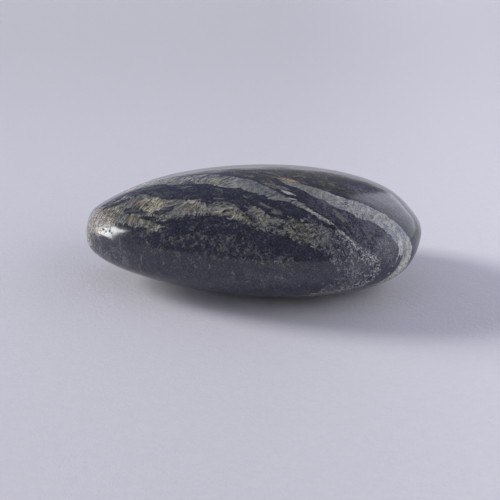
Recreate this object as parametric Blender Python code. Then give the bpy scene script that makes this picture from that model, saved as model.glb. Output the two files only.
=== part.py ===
"""A polished serpentine palm stone: one lens-shaped pebble, a little broader at its right end, on a small worn flat.

Metres, +Z up, +X along the stone. The origin is on the surface that the stone rests on, under the middle of its box.
"""

import math

import bmesh
import bpy
from mathutils import Vector

# The stone's size, measured from the middle of its rim, which is its widest line.
HALF_LENGTH = 0.0290
HALF_WIDTH = 0.01924
CROWN_HEIGHT = 0.0100
BELLY_DEPTH = 0.00846

# How the plain ellipsoid is varied. The shares grow from nothing at mid-length to this much at the right tip,
# and shrink by as much towards the left tip.
WIDTH_GAIN = 0.21
CROWN_GAIN = 0.023
BELLY_GAIN = 0.13
FRONT_GAIN = 0.032

# Exponents of the two halves' height: 1 is an ellipse, and less than 1 gives fuller shoulders beside the rim.
CROWN_FULLNESS = 0.864
BELLY_FULLNESS = 0.741

# Facets that polishing wore on the stone: (turn about Z, tilt above the rim plane, distance from the middle).
TIP_FACET = (180.0, 5.7, 0.02886)
HEEL_FACET = (0.0, -35.0, 0.02377)
SHOULDER_FACET = (148.2, 57.6, 0.01646)
BROW_FACET = (9.2, 41.9, 0.02272)
FACETS = (TIP_FACET, HEEL_FACET, SHOULDER_FACET, BROW_FACET)
FACET_ROUNDING = 0.0005

# The patch that the stone stands on: how much of the belly it takes away.
REST_FLAT_DEPTH = 0.00025
SNAP_TO_FLAT = 0.00006

# Squares along each edge of the cube that the stone is shaped from.
GRID = 20

STONE_COLOUR = (0.055, 0.062, 0.060, 1.0)
STONE_ROUGHNESS = 0.18


def clear_scene():
    for leftover in list(bpy.data.objects):
        bpy.data.objects.remove(leftover, do_unlink=True)


def facet_normal(turn_deg, tilt_deg):
    turn, tilt = math.radians(turn_deg), math.radians(tilt_deg)
    return Vector((math.cos(turn) * math.cos(tilt), math.sin(turn) * math.cos(tilt), math.sin(tilt)))


def worn_by(point, facet):
    """The point, pushed in to the facet's plane where it stood proud of it, with a rounded edge."""
    turn_deg, tilt_deg, distance = facet
    normal = facet_normal(turn_deg, tilt_deg)
    proud = (point.dot(normal) - distance) / FACET_ROUNDING
    depth = proud if proud > 30.0 else math.log1p(math.exp(proud))
    return point - normal * (FACET_ROUNDING * depth)


def stone_point(direction):
    """Where the stone's surface lies in a direction from the middle of its rim."""
    along, across, up = direction
    if up > 0.0:
        height = CROWN_HEIGHT * (1.0 + CROWN_GAIN * along) * up**CROWN_FULLNESS
    else:
        height = -BELLY_DEPTH * (1.0 + BELLY_GAIN * along) * (-up) ** BELLY_FULLNESS
    width = HALF_WIDTH * (1.0 + WIDTH_GAIN * along + FRONT_GAIN * across)
    point = Vector((HALF_LENGTH * along, width * across, height))
    for facet in FACETS:
        point = worn_by(point, facet)
    return point


def even_direction(corner):
    """The unit direction of a point on a cube from -1 to 1, spaced so that the cube's squares stay even in size."""
    return Vector([math.tan(value * math.pi / 4.0) for value in corner]).normalized()


def shape_stone(mesh):
    """A cube's grid, blown up to the stone."""
    bmesh.ops.create_cube(mesh, size=2.0)
    bmesh.ops.subdivide_edges(mesh, edges=mesh.edges[:], cuts=GRID - 1, use_grid_fill=True)
    for vertex in mesh.verts:
        vertex.co = stone_point(even_direction(vertex.co))


def wear_rest_flat(mesh):
    """Cuts the belly off flat at its lowest point and closes the cut with one face."""
    level = min(vertex.co.z for vertex in mesh.verts) + REST_FLAT_DEPTH
    for vertex in mesh.verts:
        if abs(vertex.co.z - level) < SNAP_TO_FLAT:
            vertex.co.z = level
    bmesh.ops.bisect_plane(
        mesh,
        geom=mesh.verts[:] + mesh.edges[:] + mesh.faces[:],
        plane_co=(0.0, 0.0, level),
        plane_no=(0.0, 0.0, -1.0),
        clear_outer=True,
    )
    bmesh.ops.contextual_create(mesh, geom=[edge for edge in mesh.edges if edge.is_boundary])


def move_to_origin(mesh):
    """Puts the middle of the stone's box over the origin, and the rest flat at Z 0."""
    points = [vertex.co for vertex in mesh.verts]
    middle = [(min(p[axis] for p in points) + max(p[axis] for p in points)) / 2.0 for axis in range(2)]
    base = min(p.z for p in points)
    bmesh.ops.translate(mesh, verts=mesh.verts[:], vec=(-middle[0], -middle[1], -base))


def serpentine_material():
    material = bpy.data.materials.new("polished_serpentine")
    material.use_nodes = True
    shader = material.node_tree.nodes["Principled BSDF"]
    shader.inputs["Base Color"].default_value = STONE_COLOUR
    shader.inputs["Roughness"].default_value = STONE_ROUGHNESS
    shader.inputs["Metallic"].default_value = 0.0
    return material


def make_stone():
    mesh = bmesh.new()
    shape_stone(mesh)
    wear_rest_flat(mesh)
    move_to_origin(mesh)
    bmesh.ops.recalc_face_normals(mesh, faces=mesh.faces[:])
    data = bpy.data.meshes.new("stone")
    mesh.to_mesh(data)
    mesh.free()
    data.shade_smooth()
    data.materials.append(serpentine_material())
    stone = bpy.data.objects.new("stone", data)
    bpy.context.scene.collection.objects.link(stone)
    return stone


clear_scene()
make_stone()
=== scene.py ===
import math
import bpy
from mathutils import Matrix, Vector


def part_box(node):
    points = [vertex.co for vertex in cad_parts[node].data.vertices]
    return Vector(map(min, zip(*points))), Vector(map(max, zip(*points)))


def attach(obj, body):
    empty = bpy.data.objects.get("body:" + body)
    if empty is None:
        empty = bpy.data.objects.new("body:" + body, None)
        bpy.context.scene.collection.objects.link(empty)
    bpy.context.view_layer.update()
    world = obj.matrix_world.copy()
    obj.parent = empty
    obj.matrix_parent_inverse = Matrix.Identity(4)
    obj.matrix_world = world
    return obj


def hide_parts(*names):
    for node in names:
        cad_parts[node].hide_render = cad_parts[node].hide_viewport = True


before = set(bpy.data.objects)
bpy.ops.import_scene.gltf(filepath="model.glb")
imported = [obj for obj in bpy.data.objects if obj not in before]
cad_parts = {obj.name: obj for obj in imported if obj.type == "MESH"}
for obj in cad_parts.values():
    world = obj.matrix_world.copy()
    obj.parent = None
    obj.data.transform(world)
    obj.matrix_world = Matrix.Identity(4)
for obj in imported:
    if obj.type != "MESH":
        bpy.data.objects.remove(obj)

from types import SimpleNamespace

import bpy
import numpy as np
from mathutils import Vector

# ================================================================ form, in metres, as the CAD solid has it
# The stone is two half lenses on one rim, a crown above and a belly below, with soft facets worn into it.
# A gain makes the stone wider, thicker or deeper towards its right end, or wider towards its back.
HALF_LENGTH = 0.0290
HALF_WIDTH = 0.01924
CROWN_HEIGHT = 0.0100
BELLY_DEPTH = 0.00846
WIDTH_GAIN = 0.21
CROWN_GAIN = 0.023
BELLY_GAIN = 0.13
BACK_GAIN = 0.032
CROWN_FULLNESS = 0.864
BELLY_FULLNESS = 0.741
# Each facet: the turn and tilt of its normal in degrees, and its distance from the middle of the rim.
FACETS = ((180.0, 5.7, 0.02886), (0.0, -35.0, 0.02377), (148.2, 57.6, 0.01646), (9.2, 41.9, 0.02272))
FACET_ROUNDING = 0.0005
REST_FLAT_DEPTH = 0.00025
GRID = 128

# ================================================================ bands, as (x, y) in mm along their edges
# Every band is a sheet that stands nearly upright in the stone: it leans by LEAN mm of y for each mm of
# height, and near the right end it bows towards the front below BOW_TOP mm.
LEAN = 0.15
BOW = 0.13
BOW_TOP = 9.5
BOW_FROM, BOW_TO = 8.0, 18.0
# The fibres that cross the bands lean over further at the left end.
SKEW = 0.15
SKEW_FROM, SKEW_LENGTH = -8.0, 10.0
# The bands run aslant, so a point is nearer to their edges than its distance in y.
EDGE_SLANT = 0.88
# Right of this x the olive zone starts behind band B, and left of it behind band A.
BAND_B_START = 3.5
# The line down the middle of band A is measured over this reach each way, in this many steps.
RUN_REACH = 30.0
RUN_STEPS = 600
# The middle of the stone, which the planes of the cracks pass through.
MIDDLE = (0.0, 0.0, 9.0)
# So far outside a patch, or so far in front of the stone, that it has no effect.
NOWHERE_NEAR = -50.0
BAND_A_BACK = (
    (-30, 9.0), (-24, 7.2), (-19.6, 6.1), (-18.0, 5.9), (-16.2, 4.9), (-14.4, 4.5), (-11.5, 4.0),
    (-8.0, 4.2), (-5.8, 3.4), (-4.0, 2.3), (-2.3, 1.2), (-0.5, 0.4), (1.2, -1.4), (2.9, -3.1), (4.8, -5.2),
    (6.3, -6.8), (8.0, -7.3), (9.1, -8.4), (11.2, -10.3), (13.2, -12.1), (14.6, -13.8), (17, -16.5),
    (20, -19), (30, -27))
BAND_A_FRONT = (
    (-30, 4.0), (-24, 2.6), (-20.3, 1.9), (-17.6, 1.2), (-15.9, 1.4), (-14.1, 0.4), (-10.6, -0.5),
    (-7.6, -1.0), (-5.5, -2.4), (-3.8, -3.1), (-2.1, -3.4), (-0.7, -4.5), (0.8, -5.5), (2.5, -6.5),
    (3.5, -7.3), (6.0, -7.5), (7.5, -8.6), (9.0, -9.7), (10.9, -11.1), (12.9, -12.5), (14.6, -14.0),
    (17, -17.0), (20, -19.5), (30, -27.5))
BAND_B_BACK = (
    (-30, 12.5), (-10, 6.4), (0, 2.4), (4.0, 1.4), (5.4, 1.5), (7.1, 0.8), (7.9, -0.4), (10.4, -1.6),
    (13.8, -3.6), (16.0, -4.3), (18.0, -4.5), (20.4, -5.5), (22.9, -6.5), (25.1, -7.4), (26.3, -7.8),
    (30, -9.0))
BAND_B_FRONT = (
    (-30, 13.5), (-10, 7.4), (0, 2.7), (4.4, -0.1), (6.2, -2.0), (7.1, -2.3), (8.6, -3.8), (9.9, -5.1),
    (11.9, -6.3), (14.7, -8.1), (16.2, -8.5), (17.8, -9.5), (19.2, -9.4), (21.1, -9.8), (22.5, -10.4),
    (24, -10.8), (26, -11.2), (30, -14.0))
BAND_C_BACK = (
    (-30, 0.5), (-26, -0.6), (-24, -1.0), (-22.3, -0.5), (-19.6, -1.0), (-17.0, -2.4), (-15.5, -4.0),
    (-12.0, -5.3), (-9.3, -6.2), (-7.7, -7.3), (-4.4, -7.7), (-2.0, -8.6), (0.6, -9.0), (1.7, -9.8),
    (2.8, -11.0), (6.4, -11.5), (8.8, -12.3), (11.7, -12.4), (13.4, -14.1), (18, -17), (30, -26))
BAND_C_FRONT = (
    (-30, -4.0), (-27.2, -5.2), (-24.7, -6.1), (-21.1, -8.0), (-18.0, -9.6), (-16.7, -10.7), (-15.0, -11.0),
    (-12.4, -10.8), (-11.5, -10.0), (-9.0, -10.3), (-5.9, -11.1), (-4.3, -11.3), (-1.3, -12.7),
    (1.4, -14.1), (4.8, -14.8), (8.3, -16.2), (12.1, -16.6), (18, -18), (30, -27))
# The thin white vein runs along this line, between band A and the lace.
THIN_VEIN = (
    (-30, 6), (-10, -1), (3.8, -6.0), (6.3, -7.3), (8.0, -8.4), (10.1, -10.0), (12.4, -11.3), (13.7, -12.4),
    (14.5, -13.2), (15.9, -14.1), (17.2, -14.9), (18.8, -14.8), (20.8, -14.4), (25, -14.2), (30, -14))

# ================================================================ patches, in mm
# Each patch is one or more paths of (x, y, z, radius) on the surface.
# The net of pale threads at the right end, and its dense outer edge.
LACE = (
    ((11.0, -17.6, 12.4, 0.7), (13.5, -18.0, 11.0, 1.0), (15.0, -18.1, 9.0, 1.0)),
    ((9.5, -14.2, 15.2, 0.5), (12.5, -15.8, 13.9, 0.9), (15.0, -16.6, 12.6, 1.0), (15.8, -17.2, 11.0, 1.4),
     (17.1, -17.5, 9.4, 2.2), (17.5, -17.5, 7.6, 2.3), (15.9, -17.9, 6.2, 1.7), (12.5, -17.9, 4.6, 1.0)),
)
RIM = (
    ((14.6, -15.6, 13.6, 0.2), (15.9, -16.1, 12.7, 0.3), (17.2, -16.7, 11.4, 0.5), (18.8, -16.6, 10.3, 0.7),
     (19.8, -16.3, 9.6, 0.8), (20.6, -15.8, 8.6, 0.6), (20.6, -15.8, 7.3, 0.6), (19.8, -16.0, 6.1, 0.6),
     (18.6, -16.1, 5.1, 0.6), (17.0, -16.5, 4.6, 0.5), (15.5, -16.7, 4.1, 0.5), (12.0, -16.9, 3.7, 0.4)),
)
# Where grey-green speckles lie, on the front and all round the back, and where they leave the ground bare.
SPECKLE = (
    ((-17.4, -13.3, 10.9, 0.3), (-15.2, -14.6, 10.6, 0.9)),
    ((-14.1, -14.4, 11.7, 1.0), (-8.2, -16.6, 11.6, 1.8), (-4.5, -17.6, 11.8, 2.6), (-0.9, -18.4, 11.6, 2.2)),
    ((0.5, -19.0, 10.8, 1.2), (3.2, -19.2, 10.6, 1.9), (6.0, -19.5, 10.0, 1.3)),
    ((-12.0, -16.0, 9.5, 0.2), (-2.0, -19.0, 7.8, 0.7), (6.0, -19.6, 7.4, 0.5)),
    ((-22, 8, 5, 3.0), (-8, 16, 5, 4.0), (8, 19, 6, 4.0), (22, 10, 6, 3.0)),
)
VOID = (
    ((2.9, -17.7, 13.1, 1.0), (8.0, -18.4, 12.2, 1.9), (12.5, -18.3, 11.4, 1.4)),
    ((-13.5, -13.5, 13.6, 0.7), (-7.0, -14.5, 14.3, 0.9), (-1.0, -16.2, 13.9, 0.7)),
)
# Rust spots, small greenish lenses, and the olive lens and white glints between bands A and B.
RUST = (
    ((4.4, -1.3, 18.2, 0.30), (5.7, -1.8, 18.2, 0.45), (7.2, -2.6, 18.0, 0.35)),
    ((-20.0, -5.9, 15.1, 0.8), (-18.5, -6.5, 15.3, 0.7)),
    ((-20.1, -9.4, 13.5, 0.7), (-19.2, -9.5, 13.7, 0.6)),
    ((-24.3, -7.1, 12.2, 0.5), (-23.3, -7.6, 12.6, 0.6)),
    ((-10.6, -11.3, 15.6, 0.5), (-9.7, -10.3, 16.1, 0.6)),
    ((-6.9, -12.8, 15.5, 0.6),),
    ((12, 9, 16, 1.0),),
    ((-8, 14, 11, 1.2),),
)
FLECK = (
    ((-6.4, -8.9, 17.1, 0.3), (-4.9, -9.1, 17.1, 0.3)),
    ((-4.9, -10.2, 16.9, 0.3), (-4.0, -10.3, 16.9, 0.3)),
    ((-6.1, -6.3, 17.7, 0.2), (-5.0, -6.1, 17.7, 0.2)),
    ((-1.6, -8.9, 17.4, 0.3), (-0.6, -9.1, 17.3, 0.3)),
    ((1.5, -10.8, 16.9, 0.4), (3.1, -11.9, 16.6, 0.35)),
    ((3.6, -12.7, 16.3, 0.35), (4.5, -13.0, 16.1, 0.35)),
    ((13.7, -11.3, 15.9, 0.5), (15.2, -12.8, 15.0, 0.6)),
    ((-11.6, -4.2, 17.3, 0.3), (-10.4, -4.1, 17.4, 0.3)),
)
SLIVER = (
    ((1.9, -3.9, 18.2, 0.35), (3.2, -4.7, 18.1, 0.8), (4.6, -5.7, 17.9, 0.8), (6.0, -6.4, 17.8, 0.3)),
)
GLINT = (
    ((4.9, -6.6, 17.8, 0.25), (6.0, -7.3, 17.6, 0.45), (7.2, -8.0, 17.5, 0.2)),
    ((6.0, -9.0, 17.3, 0.2), (7.2, -9.4, 17.2, 0.25)),
)
# The cream and the blue-grey parts of the bands.
CREAM = (
    ((26.0, -10.6, 8.2, 0.5), (25.3, -11.4, 6.9, 0.8), (24.5, -12.0, 5.9, 0.7), (23.6, -12.3, 5.1, 0.5)),
)
BLUE = (
    ((22.4, -11.4, 12.9, 0.8), (23.5, -12.1, 11.6, 0.8)),
    ((14.3, -10.1, 16.0, 0.4), (15.1, -10.3, 15.8, 0.4)),
    ((-2.0, -3.6, 18.2, 1.0), (0.9, -4.6, 18.1, 0.9)),
    ((24.4, -10.0, 12.0, 0.5), (25.3, -10.7, 10.8, 0.9), (25.4, -11.2, 9.2, 0.6)),
)
# Dark and bright places that tear the bands apart or join them.
DARK = (
    ((-21.1, -7.3, 14.1, 0.5), (-19.6, -8.1, 14.4, 0.6), (-17.8, -9.1, 14.6, 0.4)),
    ((-25.4, -3.9, 13.2, 0.4), (-24.2, -4.2, 13.7, 0.5), (-21.1, -4.3, 15.1, 0.4)),
    ((-16.2, -9.9, 14.8, 0.3), (-14.7, -10.2, 15.1, 0.6), (-13.2, -10.0, 15.6, 0.4)),
    ((-18.7, -9.8, 13.8, 0.3), (-15.6, -11.2, 14.2, 0.3)),
    ((-15.4, -12.0, 13.8, 0.4), (-12.2, -13.2, 14.1, 0.7)),
    ((-2.3, -11.0, 16.7, 0.4), (-1.2, -12.2, 16.3, 0.5)),
    ((-0.7, -13.3, 15.9, 0.2), (0.4, -14.5, 15.4, 0.3)),
    ((2.9, -13.0, 16.2, 0.25), (4.4, -13.7, 15.9, 0.4), (5.9, -14.5, 15.4, 0.4)),
    ((3.1, -15.2, 15.2, 0.2),),
    ((25.2, -11.6, 8.8, 0.05), (24.3, -12.6, 7.4, 0.15), (23.0, -13.4, 6.0, 0.10)),
    ((14.2, -5.6, 17.0, 0.0), (15.9, -8.9, 16.1, 0.0)),
    ((17.0, -6.0, 16.3, -0.05), (18.0, -7.6, 15.7, -0.05)),
    ((22.4, -12.2, 3.6, 0.5), (19.5, -13.4, 2.6, 1.2), (15.0, -14.6, 2.2, 1.4), (9.0, -15.5, 2.2, 1.4)),
    ((22.6, -9.0, 13.5, 0.0), (23.8, -10.8, 12.0, 0.0)),
)
BRIGHT = (
    ((24.7, -11.8, 10.0, 0.35), (23.9, -13.0, 8.2, 0.25), (23.4, -13.7, 7.2, 0.10)),
    ((22.1, -14.3, 6.2, 0.15), (22.7, -13.8, 6.0, 0.20)),
    ((-17.2, -6.1, 15.9, 0.5), (-15.8, -6.3, 16.2, 0.4)),
    ((-21.9, -3.1, 15.0, 0.4), (-21.0, -3.5, 15.1, 0.3)),
    ((-16.4, -12.4, 12.9, 0.6), (-14.3, -13.1, 13.3, 0.4)),
    ((7.3, -17.0, 13.8, 0.5), (8.9, -16.6, 14.0, 0.6)),
    ((-9.4, -9.6, 16.5, 0.5),),
)
# The beige left end, the ashen ground, and the small pits in the left end.
TIP = (
    ((-28.3, -2.2, 10.3, 1.4), (-28.0, -4.2, 7.6, 1.0)),
    ((-27.2, -3.0, 11.4, 1.6), (-25.6, -6.6, 11.3, 2.0), (-23.9, -7.6, 12.0, 1.1)),
)
ASH = (
    ((16.8, -12.3, 14.7, 2.2), (19.1, -12.4, 14.0, 3.6), (18.4, -14.9, 12.7, 3.0)),
    ((-26.9, -6.4, 7.2, 1.2), (-24.5, -9.0, 7.0, 2.2), (-21.0, -11.6, 6.4, 2.0)),
    ((11.5, -8.7, 16.6, 1.8), (16.5, -12.0, 14.7, 3.0), (20.0, -13.6, 12.0, 3.0), (22.0, -13.8, 9.4, 2.0)),
    ((15.0, -1.0, 17.0, 1.0), (20.0, -3.5, 15.6, 2.0), (24.0, -5.0, 13.6, 2.4), (27.0, -5.0, 11.0, 2.0)),
)
PITS = (
    ((-25.4, -7.1, 11.3, 0.09),),
    ((-25.0, -7.7, 11.0, 0.10), (-24.8, -7.9, 10.9, 0.07)),
    ((-24.4, -7.9, 11.5, 0.09),),
    ((-24.5, -8.3, 10.8, 0.10),),
    ((-23.9, -8.7, 11.1, 0.10), (-23.7, -8.9, 11.0, 0.07)),
    ((-23.4, -9.3, 10.9, 0.08),),
    ((-25.9, -6.3, 11.4, 0.09),),
    ((-23.8, -8.3, 11.7, 0.10),),
    ((-24.8, -8.2, 10.5, 0.06),),
)
# Pale slate smears beside the lace, partly a painted reflection of the bright wall, thin places in band C,
# and two pale cracks by the left end.
SMEAR_AND_SHEEN = (
    ((18.3, -11.6, 14.6, 1.0), (19.4, -12.2, 14.0, 1.4), (19.0, -13.4, 13.5, 1.0)),
    ((17.9, -15.4, 12.5, 0.3), (18.6, -15.6, 11.9, 0.4)),
    ((17.2, -16.5, 11.6, 0.3), (18.8, -16.4, 10.6, 0.7), (20.0, -16.1, 9.6, 0.5)),
)
DIM = (
    ((4.6, -15.4, 15.0, 0.7), (6.1, -16.0, 14.6, 0.9), (7.6, -15.4, 14.9, 0.7)),
    ((-2.4, -12.3, 16.3, 0.3), (-1.4, -13.4, 15.9, 0.3)),
)
CRACKS = (((-21.9, -10.4, 10.8), (-18.7, -12.3, 5.5)), ((-17.7, -13.5, 9.5), (-18.2, -12.5, 5.6)))
# How far the patch round a crack reaches, and how wide each crack is drawn.
CRACK_REACH = 0.5
CRACK_WIDTHS = (0.12, 0.09)

# ================================================================ where looks change, from and to, in mm
# Along X:
FIBRES_FADE = (-6.0, 2.0)
HATCH_GROWS = (-20.0, -12.0)
BAND_C_DARKENS = (-5.0, 4.0)
BAND_C_TICKS_FADE = (-4.0, 3.0)
BAND_C_ENDS = (12.2, 14.4)
STAIN_STARTS = (2.0, 4.0)
BAND_B_STARTS = (4.0, 5.2)
BAND_B_GREEN_FADES = (6.0, 16.0)
BAND_B_LIGHTENS = (8.0, 17.0)
BAND_B_CUTS_FADE = (10.0, 18.0)
BAND_B_BRIGHTENS = (15.0, 18.0)
OLIVE_FADES = (12.0, 20.0)
VEIN_STARTS = (8.0, 10.5)
VEIN_ENDS = (16.5, 18.5)
# Along the bands:
STREAKS_FADE = (10.0, 27.0)
# Upwards:
# Below these heights the ground carries a painted reflection of the floor, fading out upwards.
PAINTED_REFLECTION_FADES = (7.0, 10.0)
PAINTED_REFLECTION_ENDS = (11.0, 14.4)
STREAKS_ABOVE = (9.5, 12.0)
TIP_PITS_ABOVE = (10.2, 11.2)
VEIN_ABOVE = (9.0, 10.5)
# On the paper, along X and then twice along Y: painted light, painted shade, and where its mottle fades:
PAINTED_LIGHT_ON_PAPER = (-5.0, 60.0)
PAINTED_SHADE_ON_PAPER = (20.0, 190.0)
PAPER_SMOOTHS = (-20.0, 120.0)

# ================================================================ gloss and relief, with depths in metres
STONE_IOR = 1.56
STONE_ROUGHNESS = 0.14
RELIEF_DEPTH = 0.00005
SWELL_DEPTH = 0.00010
PAPER_ROUGHNESS = 0.85
PAPER_SPECULAR = 0.25
PAPER_FIBRE_DEPTH = 0.00010
PAPER_LUMP_DEPTH = 0.00006

# ================================================================ colours, in linear light
BLACK = (0.0170, 0.0196, 0.0278)
SLATE = (0.033, 0.035, 0.050)
# The next colour is a painted reflection of the floor on the stone's lower part.
PAINTED_FLOOR_REFLECTION = (0.052, 0.053, 0.079)
DUST = (0.085, 0.090, 0.098)
STREAKS = (0.110, 0.120, 0.110)
ASHEN = (0.050, 0.052, 0.067)
ASHEN_GRAINS = (0.148, 0.152, 0.169)
# The next colour is pale slate, partly a painted reflection of the bright wall.
SLATE_AND_SHEEN = (0.150, 0.152, 0.170)
OLIVE_GROUND = (0.050, 0.050, 0.027)
OLIVE_FLECKS = (0.158, 0.158, 0.092)
SPECKLE_SHADE = (0.084, 0.092, 0.085)
SPECKLE_LIGHT = (0.170, 0.181, 0.143)
BAND_C_DEEP = (0.045, 0.050, 0.046)
BAND_C_GREEN = (0.175, 0.176, 0.136)
BAND_C_PALE = (0.535, 0.500, 0.335)
BAND_C_GREY = (0.180, 0.192, 0.180)
BAND_C_RUST = (0.300, 0.222, 0.128)
BAND_C_TICKS = (0.026, 0.030, 0.036)
TIP_DEEP = (0.105, 0.106, 0.094)
TIP_BEIGE = (0.450, 0.410, 0.325)
TIP_RUST = (0.330, 0.235, 0.150)
PIT_SHADE = (0.030, 0.030, 0.034)
BAND_A_DEEP = (0.072, 0.082, 0.084)
BAND_A_GREEN = (0.224, 0.242, 0.208)
BAND_A_PALE = (0.372, 0.360, 0.258)
BAND_A_BLUE = (0.184, 0.222, 0.214)
BAND_A_TICKS = (0.026, 0.030, 0.038)
LENS_DEEP = (0.060, 0.066, 0.060)
LENS_PALE = (0.235, 0.240, 0.200)
GLINT_WHITE = (0.50, 0.50, 0.44)
BAND_B_DEEP = (0.235, 0.258, 0.268)
BAND_B_GREY = (0.410, 0.428, 0.400)
BAND_B_PALE = (0.610, 0.595, 0.505)
BAND_B_BLUE = (0.235, 0.285, 0.320)
BAND_B_GREEN = (0.385, 0.392, 0.262)
BAND_B_CUTS = (0.036, 0.040, 0.048)
BAND_B_CREAM = (0.58, 0.54, 0.46)
STAIN_DEEP = (0.29, 0.15, 0.07)
STAIN_PALE = (0.52, 0.345, 0.155)
LACE_GROUND = (0.092, 0.096, 0.108)
THREAD_WHITE = (0.62, 0.62, 0.57)
VEIN_WHITE = (0.56, 0.55, 0.48)
FLECK_GREEN = (0.200, 0.215, 0.170)
CRACK_TAN = (0.25, 0.22, 0.17)
PAPER = (0.730, 0.726, 0.722)

# ================================================================ camera and lights
# Where the camera stands and what it aims at, in metres, and its field of view in degrees.
CAMERA_AT = (0.00790, -0.27045, 0.10788)
CAMERA_AIM = (-0.00056, -0.00155, 0.00520)
FIELD_OF_VIEW = 17.0
# The window is nearly white, the walls are slightly blue, and the dim rest of the room is more so.
WINDOW_LIGHT = (0.980, 0.960, 1.0)
GLEAM_LIGHT = (1.0, 0.990, 0.985)
WALL_LIGHT = (0.875, 0.872, 1.0)
FAR_LIGHT = (0.790, 0.785, 1.0)
LOW_LIGHT = (0.885, 0.875, 1.0)
ROOM_LIGHT = (0.640, 0.655, 1.0)
# Each light: name, turn and rise in degrees, distance in metres, width and height in degrees as the stone
# sees them, radiance, colour, and the visibility that is switched off. All stand beyond the floor's edge.
LIGHTS = (
    ("window", -69.0, 23.0, 2.6, 18.6, 18.5, 25.9, WINDOW_LIGHT, "visible_glossy"),
    ("window_gleam", -87.0, 13.2, 2.6, 22.8, 28.5, 13.2, GLEAM_LIGHT, "visible_diffuse"),
    ("bright_wall", 61.0, 0.0, 1.6, 92.0, 46.0, 1.06, WALL_LIGHT, None),
    ("wall_spill", 122.0, 25.2, 2.0, 65.0, 50.0, 1.04, WINDOW_LIGHT, "visible_glossy"),
    ("room_above", -60.0, 66.0, 2.2, 60.0, 60.0, 0.10, WALL_LIGHT, "visible_glossy"),
    ("pale_beyond", -18.6, 4.2, 2.2, 106.0, 8.0, 14.5, FAR_LIGHT, "visible_glossy"),
)
# The bright wall's light starts this high above the floor, in metres.
WALL_FOOT = 0.08
# The floor is a disc, in metres. Its rings lie closer together near the stone by this power.
FLOOR_RADIUS = 0.9
FLOOR_RINGS = 24
FLOOR_SPOKES = 96
FLOOR_POWER = 1.6


# ================================================================ form
def cube_grid(count):
    """Corners of the squares on a cube from -1 to 1, and the squares, all facing out."""
    lines = np.arange(count + 1)
    first, second = (part.ravel() for part in np.meshgrid(lines, lines, indexing="ij"))
    low = (np.arange(count)[:, None] * (count + 1) + np.arange(count)).ravel()
    square = np.stack([low, low + count + 1, low + count + 2, low + 1], axis=1)
    corners, squares = [], []
    for axis in range(3):
        for end in (0, count):
            side = np.zeros((len(first), 3), dtype=int)
            side[:, axis] = end
            side[:, (axis + 1) % 3] = first
            side[:, (axis + 2) % 3] = second
            squares.append((square if end else square[:, ::-1]) + len(first) * len(corners))
            corners.append(side)
    unique, place = np.unique(np.concatenate(corners), axis=0, return_inverse=True)
    return unique * (2.0 / count) - 1.0, place.ravel()[np.concatenate(squares)]


def stone_points(directions):
    """The stone's surface in unit directions from the middle of its rim."""
    along, across, up = directions.T
    steep = np.abs(up)
    crown = CROWN_HEIGHT * (1.0 + CROWN_GAIN * along) * steep**CROWN_FULLNESS
    belly = -BELLY_DEPTH * (1.0 + BELLY_GAIN * along) * steep**BELLY_FULLNESS
    width = HALF_WIDTH * (1.0 + WIDTH_GAIN * along + BACK_GAIN * across)
    points = np.stack([HALF_LENGTH * along, width * across, np.where(up > 0.0, crown, belly)], axis=1)
    for turn_deg, tilt_deg, distance in FACETS:
        turn, tilt = math.radians(turn_deg), math.radians(tilt_deg)
        level = math.cos(tilt)
        normal = np.array([math.cos(turn) * level, math.sin(turn) * level, math.sin(tilt)])
        proud = (points @ normal - distance) / FACET_ROUNDING
        points = points - np.logaddexp(0.0, proud)[:, None] * FACET_ROUNDING * normal
    return points


def surface():
    """Points and squares of the stone's skin, standing on Z 0 and kept inside the box of the CAD solid."""
    corners, squares = cube_grid(GRID)
    directions = np.tan(corners * math.pi / 4.0)
    directions /= np.linalg.norm(directions, axis=1, keepdims=True)
    points = stone_points(directions)
    low, high = points.min(axis=0), points.max(axis=0)
    points -= np.array([(low[0] + high[0]) / 2.0, (low[1] + high[1]) / 2.0, low[2] + REST_FLAT_DEPTH])
    box_low, box_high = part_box("stone")
    return np.clip(points, np.array(box_low), np.array(box_high)), squares


# ================================================================ fields that the markings follow, in mm
def curve(x, knots):
    """A smooth curve y(x) through the knots."""
    xs, ys = np.array(knots, dtype=float).T
    slopes = np.gradient(ys, xs)
    piece = np.clip(np.searchsorted(xs, x) - 1, 0, len(xs) - 2)
    gap = xs[piece + 1] - xs[piece]
    t = np.clip((x - xs[piece]) / gap, 0.0, 1.0)
    return (ys[piece] * (1 + 2 * t) * (1 - t) ** 2 + ys[piece + 1] * t * t * (3 - 2 * t)
            + gap * slopes[piece] * t * (1 - t) ** 2 - gap * slopes[piece + 1] * t * t * (1 - t))


def inside_band(x, y, back, front):
    """How far a point is inside a band, across it. It is negative outside."""
    return EDGE_SLANT * np.minimum(curve(x, back) - y, y - curve(x, front))


def inside_patches(points, patches):
    """How far a point is inside the nearest of some patches that follow paths."""
    best = np.full(len(points), NOWHERE_NEAR)
    for path in patches:
        knots = np.array(path, dtype=float)
        for start, end in zip(knots, knots[1:] if len(knots) > 1 else knots):
            step = end[:3] - start[:3]
            length = max(float(step @ step), 1e-9)
            t = np.clip((points - start[:3]) @ step / length, 0.0, 1.0)
            away = np.linalg.norm(points - start[:3] - t[:, None] * step, axis=1)
            best = np.maximum(best, start[3] + t * (end[3] - start[3]) - away)
    return best


def inside_crack(points, crack):
    """How far a point is inside the patch round a crack, which ends the crack's line."""
    return inside_patches(points, [tuple((*corner, CRACK_REACH) for corner in crack)])


def beside_crack(points, crack):
    """How far a point is from the plane through a crack and the middle of the stone."""
    start, end = (np.array(corner) - np.array(MIDDLE) for corner in crack)
    normal = np.cross(start, end)
    return (points - np.array(MIDDLE)) @ normal / np.linalg.norm(normal)


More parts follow.
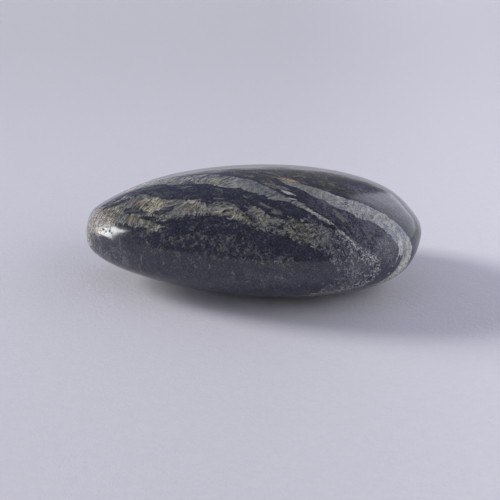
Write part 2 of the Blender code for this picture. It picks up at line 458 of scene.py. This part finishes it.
def follow_band(x, sheet):
    """How far a point is along and across the bands, by the line that runs down the middle of band A."""
    places = np.array([x_mm for x_mm, _ in BAND_A_FRONT])
    backs = curve(places, BAND_A_BACK)
    line = [(x_mm, (y_mm + back) / 2.0) for (x_mm, y_mm), back in zip(BAND_A_FRONT, backs)]
    run = np.linspace(-RUN_REACH, RUN_REACH, RUN_STEPS + 1)
    spacing = 2.0 * RUN_REACH / RUN_STEPS
    slope = np.gradient(curve(run, line), run)
    lengths = np.cumsum(np.hypot(1.0, (slope[1:] + slope[:-1]) / 2.0) * spacing)
    incline = np.interp(x, run, slope)
    across = (sheet - curve(x, line)) / np.hypot(1.0, incline)
    along = np.interp(x, run, np.concatenate([[0.0], lengths])) + across * incline
    return along - SKEW * across * np.clip((SKEW_FROM - x) / SKEW_LENGTH, 0.0, 1.0), across


def fields(points):
    """Every field by name: three numbers for each point. Patches give how far inside them it is."""
    x, y, z = points.T
    bowed = np.clip((x - BOW_FROM) / (BOW_TO - BOW_FROM), 0.0, 1.0)
    sheet = y + LEAN * z + BOW * bowed * np.maximum(0.0, BOW_TOP - z) ** 2
    along, across = follow_band(x, sheet)
    backmost = np.where(x > BAND_B_START, curve(x, BAND_B_BACK), NOWHERE_NEAR)
    behind = sheet - np.maximum(curve(x, BAND_A_BACK), backmost)
    bands = [inside_band(x, sheet, back, front) for back, front in (
        (BAND_A_BACK, BAND_A_FRONT), (BAND_B_BACK, BAND_B_FRONT), (BAND_C_BACK, BAND_C_FRONT))]
    sources = {
        "bands": bands,
        "flow": (along, across, z),
        "zones": (LACE, RIM, SPECKLE),
        "spots": (RUST, FLECK, CREAM),
        "darks": (VOID, DARK, BRIGHT),
        "tints": (BLUE, SLIVER, GLINT),
        "ends": (TIP, ASH, behind),
        "holes": (PITS, SMEAR_AND_SHEEN, DIM),
        "seams": (sheet - curve(x, THIN_VEIN), *(beside_crack(points, crack) for crack in CRACKS)),
        "marks": (*(inside_crack(points, crack) for crack in CRACKS), x),
    }
    columns = {}
    for name, parts in sources.items():
        arrays = [part if isinstance(part, np.ndarray) else inside_patches(points, part) for part in parts]
        columns[name] = np.stack(arrays, axis=1)
    return columns


def make_skin():
    """The stone's skin as a mesh that carries the fields."""
    points, squares = surface()
    mesh = bpy.data.meshes.new("polished_stone")
    mesh.vertices.add(len(points))
    mesh.vertices.foreach_set("co", points.ravel())
    mesh.loops.add(squares.size)
    mesh.loops.foreach_set("vertex_index", squares.ravel())
    mesh.polygons.add(len(squares))
    mesh.polygons.foreach_set("loop_start", np.arange(0, squares.size, 4))
    mesh.update(calc_edges=True)
    mesh.validate()
    mesh.shade_smooth()
    for name, values in fields(points * 1000.0).items():
        layer = mesh.attributes.new(name, "FLOAT_VECTOR", "POINT")
        layer.data.foreach_set("vector", values.astype(np.float32).ravel())
    skin = bpy.data.objects.new("polished_stone", mesh)
    bpy.context.scene.collection.objects.link(skin)
    return skin


# ================================================================ shader nodes
class Graph:
    """Adds shader nodes to a material or world. Its methods give back the sockets that hold their results."""

    def __init__(self, owner):
        owner.use_nodes = True
        self.tree = owner.node_tree
        self.tree.nodes.clear()

    def add(self, kind, inputs, output=0, **settings):
        node = self.tree.nodes.new(kind)
        for name, value in settings.items():
            setattr(node, name, value)
        for key, value in inputs.items():
            if isinstance(value, bpy.types.NodeSocket):
                self.tree.links.new(value, node.inputs[key])
            else:
                node.inputs[key].default_value = value
        return node.outputs[output]

    def finish(self, shader, kind="ShaderNodeOutputMaterial"):
        output = self.tree.nodes.new(kind)
        self.tree.links.new(shader, output.inputs["Surface"])

    def math(self, operation, first, second=0.0):
        return self.add("ShaderNodeMath", {0: first, 1: second}, operation=operation)

    def plus(self, *terms):
        total = terms[0]
        for term in terms[1:]:
            total = self.math("ADD", total, term)
        return total

    def times(self, *terms):
        total = terms[0]
        for term in terms[1:]:
            total = self.math("MULTIPLY", total, term)
        return total

    def weighted(self, *pairs):
        """The sum of some patterns, each times its own weight."""
        return self.plus(*(self.times(pattern, weight) for pattern, weight in pairs))

    def either(self, *masks):
        """The greatest of some masks."""
        greatest = masks[0]
        for mask in masks[1:]:
            greatest = self.math("MAXIMUM", greatest, mask)
        return greatest

    def inverse(self, mask):
        return self.plus(1.0, self.times(mask, -1.0))

    def absolute(self, value):
        return self.math("ABSOLUTE", value)

    def ragged(self, field, pattern, reach):
        """The field, pushed in and out by a pattern so that its edge isn't smooth."""
        return self.plus(field, self.times(self.plus(pattern, -0.5), reach))

    def step(self, value, start, end, low=0.0, high=1.0):
        """A smooth step: low up to start, and high from end on."""
        inputs = {0: value, 1: start, 2: end, 3: low, 4: high}
        return self.add("ShaderNodeMapRange", inputs, interpolation_type="SMOOTHSTEP")

    def fade(self, value, start, end):
        """A smooth step down from 1 to 0."""
        return self.step(value, start, end, 1.0, 0.0)

    def stretch(self, vector, factors):
        return self.add("ShaderNodeVectorMath", {0: vector, 1: factors}, operation="MULTIPLY")

    def dot(self, vector, other):
        inputs = {0: vector, 1: other}
        return self.add("ShaderNodeVectorMath", inputs, output="Value", operation="DOT_PRODUCT")

    def scale(self, colour, factor):
        return self.add("ShaderNodeVectorMath", {0: colour, "Scale": factor}, operation="SCALE")

    def combine(self, x, y, z):
        return self.add("ShaderNodeCombineXYZ", {0: x, 1: y, 2: z})

    def noise(self, vector, scale, detail, roughness):
        inputs = {"Vector": vector, "Scale": scale, "Detail": detail, "Roughness": roughness}
        return self.add("ShaderNodeTexNoise", inputs)

    def cells(self, vector, scale):
        return self.add("ShaderNodeTexVoronoi", {"Vector": vector, "Scale": scale}, output="Distance")

    def mix(self, share, first, second):
        """The first colour, with a share of the second in it. The node has them as its inputs 6 and 7."""
        inputs = {0: share}
        for key, colour in ((6, first), (7, second)):
            inputs[key] = (*colour, 1.0) if isinstance(colour, tuple) else colour
        return self.add("ShaderNodeMix", inputs, output=2, data_type="RGBA")

    def millimetres(self):
        """The place on the object, in mm."""
        return self.stretch(self.add("ShaderNodeTexCoord", {}, output="Object"), (1000.0, 1000.0, 1000.0))

    def layer(self, name):
        """A field of the mesh, as a vector and as its three numbers."""
        vector = self.add("ShaderNodeAttribute", {}, output="Vector", attribute_name=name)
        node = self.tree.nodes.new("ShaderNodeSeparateXYZ")
        self.tree.links.new(vector, node.inputs[0])
        return vector, node.outputs[0], node.outputs[1], node.outputs[2]

    def warp(self, vector, reach, scale):
        """The vector, pushed about by up to reach in a pattern of that scale."""
        push = self.add("ShaderNodeTexNoise", {"Vector": vector, "Scale": scale, "Detail": 2.0}, output=1)
        push = self.add("ShaderNodeVectorMath", {0: push, 1: (0.5, 0.5, 0.5)}, operation="SUBTRACT")
        push = self.stretch(push, (2.0 * reach, 2.0 * reach, 2.0 * reach))
        return self.add("ShaderNodeVectorMath", {0: vector, 1: push}, operation="ADD")

    def hairlines(self, vector, width=0.030, detail=2.0):
        """1 on thin lines that wander through the vector's space, 0 between them."""
        wave = self.noise(vector, 1.0, detail, 0.5)
        return self.fade(self.absolute(self.plus(wave, -0.5)), 0.0, width)

    def bump(self, height, distance, strength=1.0, **below):
        inputs = {"Strength": strength, "Distance": distance, "Height": height, **below}
        return self.add("ShaderNodeBump", inputs)


# ================================================================ serpentine
# Patterns run from 0 to 1 with most of their area near 0.5, and fields are in mm. Each function takes the
# graph g, the patterns p and the colour so far. It gives back the colour with its own mineral laid over
# it, and some give back the mineral's mask too. A level is a pattern that the mask is cut from, and a tone
# is one that the mineral's colours follow.
def patterns(g):
    """The fields and patterns that the minerals share, by name."""
    p = SimpleNamespace()

    # The place on the stone, and the fields of its mesh.
    p.spot = g.millimetres()
    p.flow, p.along, p.across, p.height = g.layer("flow")
    _, p.band_a, p.band_b, p.band_c = g.layer("bands")
    _, p.lace, p.rim, p.speckle = g.layer("zones")
    _, p.rust, p.fleck, p.cream = g.layer("spots")
    _, p.void, p.dark, p.bright = g.layer("darks")
    _, p.blue, p.sliver, p.glint = g.layer("tints")
    _, p.tip, p.ash, p.behind = g.layer("ends")
    _, p.pit, p.smear, p.dim = g.layer("holes")
    _, p.vein, *p.beside_cracks = g.layer("seams")
    _, *p.in_cracks, p.x = g.layer("marks")

    # Patterns that do not follow the bands, from clouds down to single crystals.
    p.loose = g.warp(p.spot, 0.7, 0.9)
    p.cloud = g.noise(p.spot, 0.30, 2.0, 0.5)
    p.blotch = g.noise(p.loose, 0.85, 5.0, 0.62)
    p.speck = g.noise(p.loose, 2.3, 4.0, 0.66)
    p.grain = g.noise(p.spot, 4.6, 3.0, 0.75)
    p.dots = g.step(p.grain, 0.545, 0.60)

    # Patterns that do: fibres that lean back (rise) or forward (fall), and streaks along the bands.
    p.rise = leaning(g, p, -1.0)
    p.fall = leaning(g, p, 1.0)
    p.rise_fibre = g.noise(g.stretch(p.rise, (2.2, 1.2, 1.2)), 1.0, 4.0, 0.65)
    p.fall_fibre = g.noise(g.stretch(p.fall, (2.2, 1.2, 1.2)), 1.0, 4.0, 0.65)
    p.rise_hatch = g.noise(g.stretch(p.rise, (4.0, 1.4, 1.4)), 1.0, 2.0, 0.6)
    p.fall_hatch = g.noise(g.stretch(p.fall, (4.0, 1.4, 1.4)), 1.0, 2.0, 0.6)
    p.streak = g.noise(g.stretch(g.warp(p.flow, 0.6, 0.6), (0.42, 1.7, 1.0)), 1.0, 5.0, 0.65)

    p.rusty = g.step(g.ragged(p.rust, p.rise_fibre, 4.0), -0.3, 0.5)
    return p


def leaning(g, p, way):
    """Places measured across and along fibres that lean back (-1) or forward (1) over the bands."""
    over = g.dot(p.flow, (0.92, way * 0.40, 0.15))
    down = g.dot(p.flow, (way * -0.16, 0.37, 0.0))
    return g.warp(g.combine(over, down, g.times(p.height, 0.45)), 0.32, 0.55)


def ground(g, p):
    """The dark ground, dusted with small crystals: a painted reflection of the floor low down, streaky above
    and ashen in places.
    """
    colour = g.mix(g.step(p.blotch, 0.44, 0.66), BLACK, SLATE)
    # Low down, the ground is lightened towards a painted reflection of the floor.
    low = g.step(p.height, *PAINTED_REFLECTION_FADES, 0.68, 0.0)
    low = g.plus(low, g.step(p.height, *PAINTED_REFLECTION_ENDS, 0.32, 0.0))
    colour = g.mix(g.times(low, g.step(p.blotch, 0.36, 0.62, 0.45, 1.0)), colour, PAINTED_FLOOR_REFLECTION)
    colour = g.mix(g.times(g.step(p.grain, 0.53, 0.66), 0.45), colour, DUST)
    level = g.ragged(g.plus(p.streak, g.step(p.along, *STREAKS_FADE, 0.02, -0.09)), p.speck, 0.4)
    streaky = g.times(g.step(p.height, *STREAKS_ABOVE), g.step(level, 0.47, 0.56))
    colour = g.mix(g.times(streaky, 0.55), colour, STREAKS)
    ashen = g.times(g.step(g.ragged(p.ash, p.cloud, 5.0), -1.5, 1.5), g.step(p.lace, -1.2, 0.2, 1.0, 0.35))
    colour = g.mix(g.times(ashen, 0.75), colour, ASHEN)
    level = g.weighted((p.streak, 0.45), (p.grain, 0.30), (p.speck, 0.25))
    colour = g.mix(g.times(ashen, g.step(level, 0.46, 0.58), 0.9), colour, ASHEN_GRAINS)
    # Pale slate smears, partly a painted reflection of the bright wall.
    smeared = g.step(g.ragged(p.smear, p.streak, 3.0), -0.6, 0.6)
    return g.mix(g.times(smeared, g.step(p.speck, 0.36, 0.56, 0.4, 0.85)), colour, SLATE_AND_SHEEN)


def olive_zone(g, p, colour):
    """Olive mottling behind the bands, which fades towards the right end."""
    fading = g.step(g.ragged(p.x, p.cloud, 20.0), *OLIVE_FADES, 1.0, 0.22)
    olive = g.times(g.step(g.ragged(p.behind, p.streak, 4.0), 0.3, 1.6), fading)
    level = g.weighted((p.streak, 0.45), (p.blotch, 0.55))
    colour = g.mix(g.times(olive, g.step(level, 0.41, 0.51), 0.88), colour, OLIVE_GROUND)
    level = g.weighted((p.streak, 0.35), (p.speck, 0.40), (p.blotch, 0.25))
    return g.mix(g.times(olive, g.step(level, 0.505, 0.575), 0.75), colour, OLIVE_FLECKS)


def speckles(g, p, colour):
    """Soft grey-green speckles."""
    where = g.ragged(g.step(p.speckle, -2.0, 1.5, -0.14, 0.0), p.cloud, 0.25)
    where = g.plus(where, g.step(p.void, -0.5, 0.8, 0.0, -0.10))
    fluff = g.noise(g.warp(p.spot, 0.5, 1.2), 1.15, 3.0, 0.55)
    patchy = g.plus(g.weighted((fluff, 0.50), (p.speck, 0.35), (p.grain, 0.15)), where)
    colour = g.mix(g.times(g.step(patchy, 0.42, 0.60), 0.75), colour, SPECKLE_SHADE)
    lit = g.times(g.step(patchy, 0.50, 0.62), g.step(p.grain, 0.36, 0.56, 0.5, 1.0), 0.75)
    return g.mix(lit, colour, SPECKLE_LIGHT)


def band_c(g, p, colour):
    """Band C: yellow-green, torn into lenses and islands. Its fibres give way to mottling at the right."""
    weave = g.step(p.x, *FIBRES_FADE, 1.0, 0.25)
    fibre = g.plus(g.times(p.rise_fibre, weave), g.times(p.speck, g.inverse(weave)))
    level = g.plus(g.weighted((fibre, 0.45), (p.streak, 0.25), (p.blotch, 0.30)),
                   g.step(p.band_c, -0.8, 0.8, -0.11, 0.065), g.step(p.dark, -0.3, 0.3, 0.0, -0.16),
                   g.step(p.bright, -0.4, 0.3, 0.0, 0.05), g.step(p.dim, -0.6, 0.4, 0.0, -0.035))
    mask = g.times(g.step(level, 0.490, 0.520), g.fade(p.x, *BAND_C_ENDS))
    tone = g.plus(g.weighted((fibre, 0.25), (p.rise_hatch, 0.15), (p.speck, 0.35), (p.cloud, 0.25)),
                  g.step(p.bright, -0.5, 0.5, 0.0, 0.025))
    band = g.mix(g.step(tone, 0.41, 0.49), BAND_C_DEEP, BAND_C_GREEN)
    band = g.mix(g.step(tone, 0.49, 0.58), band, BAND_C_PALE)
    band = g.mix(g.times(g.step(g.noise(p.spot, 0.22, 1.0, 0.5), 0.47, 0.60), 0.50), band, BAND_C_GREY)
    band = g.mix(g.times(p.rusty, 0.60), band, BAND_C_RUST)
    band = g.scale(band, g.step(p.x, *BAND_C_DARKENS, 1.08, 0.82))
    ticks = g.hairlines(g.stretch(p.rise, (1.3, 0.9, 0.9)))
    ticks = g.either(g.times(ticks, g.step(p.x, *BAND_C_TICKS_FADE, 1.0, 0.3)), p.dots)
    band = g.mix(g.times(ticks, 0.85), band, BAND_C_TICKS)
    return g.mix(g.times(mask, 0.96), colour, band), mask


def left_end(g, p, colour):
    """The left end: beige, with small dark pits. It gives back the mask of the pits as well."""
    level = g.plus(g.step(p.tip, -0.8, 0.8, -0.14, 0.08), g.times(p.blotch, 0.5), g.times(p.speck, 0.5))
    mask = g.step(level, 0.47, 0.54)
    tone = g.weighted((p.speck, 0.55), (p.grain, 0.45))
    beige = g.mix(g.step(tone, 0.43, 0.56), TIP_DEEP, TIP_BEIGE)
    beige = g.mix(g.times(p.rusty, 0.45), beige, TIP_RUST)
    colour = g.mix(g.times(mask, 0.85), colour, beige)
    small = g.step(g.ragged(p.pit, p.speck, 0.5), -0.07, 0.02)
    large = g.times(g.fade(g.cells(g.warp(p.spot, 0.25, 2.0), 2.3), 0.05, 0.30), mask,
                    g.step(p.blotch, 0.46, 0.52), g.step(p.height, *TIP_PITS_ABOVE))
    pits = g.either(large, small)
    return g.mix(g.times(pits, 0.9), colour, PIT_SHADE), mask, pits


def band_a(g, p, colour):
    """Band A: grey-green and blue-grey, crossed by dark ticks. It thins out into the white vein."""
    level = g.plus(g.weighted((p.rise_fibre, 0.35), (p.streak, 0.35), (p.blotch, 0.30)),
                   g.step(p.band_a, -0.45, 0.55, -0.17, 0.14))
    mask = g.step(level, 0.495, 0.520)
    tone = g.plus(g.weighted((p.rise_fibre, 0.30), (p.rise_hatch, 0.25), (p.speck, 0.20), (p.cloud, 0.25)),
                  g.step(p.across, -1.5, 2.0, 0.02, -0.02))
    band = g.mix(g.step(tone, 0.42, 0.50), BAND_A_DEEP, BAND_A_GREEN)
    band = g.mix(g.step(tone, 0.50, 0.58), band, BAND_A_PALE)
    band = g.mix(g.times(g.step(g.ragged(p.blue, p.rise_fibre, 3.0), -0.7, 0.7), 0.45), band, BAND_A_BLUE)
    ticks = g.either(g.hairlines(g.stretch(p.rise, (1.3, 1.3, 1.0))), p.dots)
    band = g.mix(g.times(ticks, 0.80), band, BAND_A_TICKS)
    return g.mix(mask, colour, band), mask


def lens_and_glints(g, p, colour):
    """Between bands A and B: an olive lens and a few white glints."""
    lens = g.step(g.ragged(p.sliver, p.streak, 2.0), -0.1, 0.3)
    tone = g.weighted((p.streak, 0.5), (p.speck, 0.5))
    olive = g.mix(g.step(tone, 0.43, 0.57), LENS_DEEP, LENS_PALE)
    colour = g.mix(g.times(lens, 0.75), colour, olive)
    glints = g.step(g.ragged(p.glint, p.streak, 1.5), -0.1, 0.2)
    return g.mix(g.times(glints, 0.9), colour, GLINT_WHITE)


def band_b(g, p, colour):
    """Band B: broad and pale, greener where it starts, with dark lines that cross it on a slant."""
    level = g.plus(g.weighted((p.streak, 0.55), (p.blotch, 0.45)), g.step(p.band_b, -0.40, 0.50, -0.18, 0.16),
                   g.step(p.dark, -0.3, 0.2, 0.0, -0.30),
                   g.times(g.step(p.bright, -0.4, 0.4, 0.0, 0.27), g.step(p.x, *BAND_B_BRIGHTENS)))
    mask = g.times(g.step(level, 0.495, 0.525), g.step(p.x, *BAND_B_STARTS))
    tone = g.weighted((p.fall_fibre, 0.30), (p.fall_hatch, 0.20), (p.speck, 0.20), (p.cloud, 0.30))
    band = g.mix(g.step(tone, 0.40, 0.48), BAND_B_DEEP, BAND_B_GREY)
    band = g.mix(g.step(tone, 0.48, 0.58), band, BAND_B_PALE)
    band = g.mix(g.times(g.step(g.ragged(p.blue, p.rise_fibre, 3.0), -0.5, 0.5), 0.7), band, BAND_B_BLUE)
    band = g.mix(g.step(p.x, *BAND_B_GREEN_FADES, 0.60, 0.0), band, BAND_B_GREEN)
    band = g.scale(band, g.step(p.x, *BAND_B_LIGHTENS, 0.70, 0.94))
    wave = g.noise(g.stretch(p.fall, (0.9, 0.35, 0.6)), 1.0, 3.0, 0.6)
    slants = g.times(g.fade(g.absolute(g.plus(wave, -0.5)), 0.0, 0.020), g.step(p.blotch, 0.44, 0.52))
    dashes = g.step(g.noise(g.stretch(p.flow, (1.2, 4.6, 2.0)), 1.0, 1.0, 0.5), 0.61, 0.66)
    cuts = g.times(g.hairlines(g.stretch(p.fall, (1.3, 1.0, 1.0))), g.fade(p.x, *BAND_B_CUTS_FADE))
    lines = g.either(slants, g.step(p.grain, 0.560, 0.61), g.times(dashes, 0.8), cuts)
    band = g.mix(g.times(lines, 0.85), band, BAND_B_CUTS)
    band = g.mix(g.times(g.step(g.ragged(p.cream, p.blotch, 3.0), -0.2, 0.4), 0.6), band, BAND_B_CREAM)
    return g.mix(mask, colour, band), mask


def rust_stain(g, p, colour):
    """The rust stain where band B starts."""
    stain = g.times(g.step(g.ragged(p.rust, p.streak, 2.0), -0.25, 0.25), g.step(p.x, *STAIN_STARTS))
    return g.mix(g.times(stain, 0.85), colour, g.mix(g.step(p.speck, 0.44, 0.58), STAIN_DEEP, STAIN_PALE))


def vein_and_lace(g, p, colour):
    """The thin white vein, and the lace of pale threads that it ends in."""
    level = g.plus(g.step(p.lace, -1.2, 1.0, -0.12, 0.10), g.times(p.blotch, 0.5), g.times(p.speck, 0.5))
    mask = g.step(level, 0.46, 0.56)
    colour = g.mix(g.times(mask, g.step(p.speck, 0.38, 0.56), 0.85), colour, LACE_GROUND)
    threads = g.hairlines(g.stretch(p.loose, (1.6, 1.6, 1.6)), 0.046, 3.0)
    level = g.plus(g.step(p.rim, -1.0, 0.6, 0.0, 0.11), g.times(mask, 0.02), g.times(p.blotch, 0.6),
                   g.times(p.speck, 0.4))
    drawn = g.times(g.either(mask, g.step(p.rim, -0.6, 0.3)), threads, g.step(level, 0.47, 0.55),
                    g.step(p.rim, -0.9, 0.2, 0.45, 1.0))
    colour = g.mix(drawn, colour, THREAD_WHITE)
    line = g.fade(g.absolute(g.ragged(p.vein, p.streak, 2.0)), 0.10, 0.28)
    line = g.times(line, g.step(p.speck, 0.41, 0.50), g.step(p.x, *VEIN_STARTS),
                   g.fade(p.x, *VEIN_ENDS), g.step(p.height, *VEIN_ABOVE))
    return g.mix(g.times(line, 0.95), colour, VEIN_WHITE), mask


def flecks_and_cracks(g, p, colour):
    """Small greenish lenses in the ground, and two pale cracks by the left end."""
    flecks = g.step(g.ragged(p.fleck, p.streak, 2.5), -0.1, 0.25)
    colour = g.mix(g.times(flecks, g.step(p.speck, 0.38, 0.56, 0.3, 0.75)), colour, FLECK_GREEN)
    for beside, within, width in zip(p.beside_cracks, p.in_cracks, CRACK_WIDTHS):
        wander = g.absolute(g.ragged(g.ragged(beside, p.cloud, 4.0), p.speck, 1.2))
        line = g.times(g.fade(wander, 0.03, width), g.step(within, -0.8, 0.1), g.step(p.speck, 0.38, 0.50))
        colour = g.mix(g.times(line, 0.7), colour, CRACK_TAN)
    return colour


def crystals(g, p, colour, in_a, in_b, in_c):
    """Single crystals light and darken every part, and fibres light and darken the bands."""
    hatch = g.plus(g.times(p.rise_hatch, g.inverse(in_b)), g.times(p.fall_hatch, in_b))
    colour = g.scale(colour, g.step(p.grain, 0.38, 0.62, 0.66, 1.38))
    contrast = g.times(g.either(in_a, in_b, in_c), g.step(hatch, 0.38, 0.62, -0.40, 0.42),
                       g.plus(1.0, g.times(in_b, -0.35)), g.step(p.x, *HATCH_GROWS, 0.65, 1.0),
                       g.step(p.x, *FIBRES_FADE, 1.0, 0.35))
    return g.scale(colour, g.plus(1.0, contrast))


def polish(g, p, pale, in_tip, pits):
    """Roughness and bump: the pale minerals take less polish, and are finely pitted."""
    rough = g.ragged(g.plus(STONE_ROUGHNESS, g.times(pale, 0.12)), p.speck, 0.20)
    rough = g.plus(rough, g.times(pits, 0.45))
    pores = g.times(g.fade(g.cells(p.spot, 1.9), 0.0, 0.26), g.step(p.blotch, 0.49, 0.56),
                    g.plus(0.20, g.times(pale, 0.80)))
    ragged = g.times(in_tip, g.step(p.speck, 0.50, 0.60))
    relief = g.plus(g.weighted((pores, -1.2), (ragged, -0.8), (pits, -2.5), (pale, -0.20)),
                    g.times(pale, p.speck, 0.35), g.times(p.grain, g.plus(0.05, g.times(pale, 0.15))))
    bump = g.bump(relief, RELIEF_DEPTH)
    bump = g.bump(g.noise(p.spot, 0.22, 2.0, 0.5), SWELL_DEPTH, Normal=bump)
    return rough, bump


def serpentine():
    """The stone's material: the ground, and then every mineral in the order that it lies over the others."""
    material = bpy.data.materials.new("polished_serpentine")
    g = Graph(material)
    p = patterns(g)
    colour = speckles(g, p, olive_zone(g, p, ground(g, p)))
    colour, in_c = band_c(g, p, colour)
    colour, in_tip, pits = left_end(g, p, colour)
    colour, in_a = band_a(g, p, colour)
    colour = lens_and_glints(g, p, colour)
    colour, in_b = band_b(g, p, colour)
    colour = rust_stain(g, p, colour)
    colour, in_lace = vein_and_lace(g, p, colour)
    colour = flecks_and_cracks(g, p, colour)
    colour = crystals(g, p, colour, in_a, in_b, in_c)
    pale = g.either(in_a, in_b, in_c, g.times(in_lace, 0.5), g.times(in_tip, 0.25))
    rough, bump = polish(g, p, pale, in_tip, pits)
    inputs = {"Base Color": colour, "Roughness": rough, "IOR": STONE_IOR, "Normal": bump}
    g.finish(g.add("ShaderNodeBsdfPrincipled", inputs))
    return material


# ================================================================ studio
def paper():
    """Pale mottled paper, with painted shade that makes it slightly darker far off and painted light that
    makes it lighter to the right.
    """
    material = bpy.data.materials.new("pale_paper")
    g = Graph(material)
    spot = g.millimetres()
    x = g.dot(spot, (1.0, 0.0, 0.0))
    y = g.dot(spot, (0.0, 1.0, 0.0))
    fibre = g.noise(spot, 2.6, 4.0, 0.6)
    relief = g.noise(spot, 1.1, 4.0, 0.6)
    mottle = g.plus(g.weighted((fibre, 0.30), (relief, 0.45), (g.noise(spot, 0.45, 3.0, 0.6), 0.25)), -0.5)
    # The shade holds painted light to the right, painted shade far off, and the paper's own mottle.
    shade = g.plus(1.0, g.step(x, *PAINTED_LIGHT_ON_PAPER, 0.0, 0.16), g.step(y, *PAINTED_SHADE_ON_PAPER, 0.0, -0.14),
                   g.times(mottle, g.step(y, *PAPER_SMOOTHS, 0.20, 0.08)))
    colour = g.combine(*(g.times(shade, channel) for channel in PAPER))
    bump = g.bump(fibre, PAPER_FIBRE_DEPTH, 0.7)
    bump = g.bump(relief, PAPER_LUMP_DEPTH, Normal=bump)
    inputs = {"Base Color": colour, "Roughness": PAPER_ROUGHNESS, "Specular IOR Level": PAPER_SPECULAR,
              "Normal": bump}
    g.finish(g.add("ShaderNodeBsdfPrincipled", inputs))
    return material


def make_floor():
    """A round sheet of paper, in rings that are closer together near the stone."""
    radii = np.linspace(0.0, 1.0, FLOOR_RINGS + 1)[1:] ** FLOOR_POWER * FLOOR_RADIUS
    turns = np.arange(FLOOR_SPOKES) * (2.0 * math.pi / FLOOR_SPOKES)
    points = [(0.0, 0.0, 0.0)]
    for radius in radii:
        points += [(radius * math.cos(turn), radius * math.sin(turn), 0.0) for turn in turns]
    faces = [(0, 1 + k, 1 + (k + 1) % FLOOR_SPOKES) for k in range(FLOOR_SPOKES)]
    for ring in range(FLOOR_RINGS - 1):
        inner = 1 + ring * FLOOR_SPOKES
        outer = inner + FLOOR_SPOKES
        for k in range(FLOOR_SPOKES):
            after = (k + 1) % FLOOR_SPOKES
            faces.append((inner + k, outer + k, outer + after, inner + after))
    mesh = bpy.data.meshes.new("floor")
    mesh.from_pydata(points, [], faces)
    mesh.shade_smooth()
    mesh.materials.append(paper())
    floor = bpy.data.objects.new("floor", mesh)
    bpy.context.scene.collection.objects.link(floor)


def towards(turn_deg, rise_deg):
    """A unit direction. Turn 0 is to the back and 90 to the right, and rise is above the horizon."""
    turn, rise = math.radians(turn_deg), math.radians(rise_deg)
    return Vector((math.sin(turn) * math.cos(rise), math.cos(turn) * math.cos(rise), math.sin(rise)))


def add_light(name, turn_deg, rise_deg, distance, width_deg, height_deg, radiance, colour, switched_off):
    """A soft light that is that wide and high as the stone sees it."""
    light = bpy.data.lights.new(name, "AREA")
    light.shape = "RECTANGLE"
    light.size = 2.0 * distance * math.tan(math.radians(width_deg / 2.0))
    light.size_y = 2.0 * distance * math.tan(math.radians(height_deg / 2.0))
    light.energy = radiance * math.pi * light.size * light.size_y
    light.color = colour
    panel = bpy.data.objects.new(name, light)
    panel.location = towards(turn_deg, rise_deg) * distance
    panel.rotation_euler = towards(turn_deg, rise_deg).to_track_quat("Z", "Y").to_euler()
    panel.visible_camera = False
    if switched_off:
        setattr(panel, switched_off, False)
    bpy.context.scene.collection.objects.link(panel)
    return panel


def light_studio():
    """A window on the left, a bright wall on the right, and dim room all round."""
    panels = {light[0]: add_light(*light) for light in LIGHTS}
    wall = panels["bright_wall"]
    wall.location.z = WALL_FOOT + wall.data.size_y / 2.0
    bpy.context.scene.world = dim_room()
    bpy.context.scene.view_settings.view_transform = "Standard"


def dim_room():
    """The rest of the room: pale low down, most of all to the back and the back left, and darker above."""
    world = bpy.data.worlds.new("room")
    g = Graph(world)
    outward = g.add("ShaderNodeTexCoord", {}, output="Generated")
    up = g.dot(outward, (0.0, 0.0, 1.0))
    beyond = g.dot(outward, (-0.25, 0.97, 0.0))
    left = g.dot(outward, (-0.50, 0.87, 0.0))
    strength = g.plus(g.step(up, 0.045, 0.100, 0.66, 0.249),
                      g.times(g.step(up, 0.02, 0.11, 0.20, 0.0), g.step(beyond, 0.1, 0.7)),
                      g.times(g.step(up, 0.08, 0.26, 0.42, 0.0), g.step(left, 0.84, 0.98)))
    colour = g.mix(g.step(up, 0.05, 0.20), LOW_LIGHT, ROOM_LIGHT)
    background = g.add("ShaderNodeBackground", {"Color": colour, "Strength": strength})
    g.finish(background, "ShaderNodeOutputWorld")
    return world


def add_camera():
    """The camera, as it was fitted to the stone's outline in the photograph."""
    lens = bpy.data.cameras.new("camera")
    lens.sensor_width = 36.0
    lens.angle = math.radians(FIELD_OF_VIEW)
    lens.clip_start = 0.01
    lens.clip_end = 20.0
    camera = bpy.data.objects.new("camera", lens)
    camera.location = CAMERA_AT
    camera.rotation_euler = (Vector(CAMERA_AIM) - Vector(CAMERA_AT)).to_track_quat("-Z", "Y").to_euler()
    bpy.context.scene.collection.objects.link(camera)
    bpy.context.scene.camera = camera


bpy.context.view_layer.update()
stone = make_skin()
stone.data.materials.append(serpentine())
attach(stone, "root")
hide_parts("stone")
make_floor()
light_studio()
add_camera()
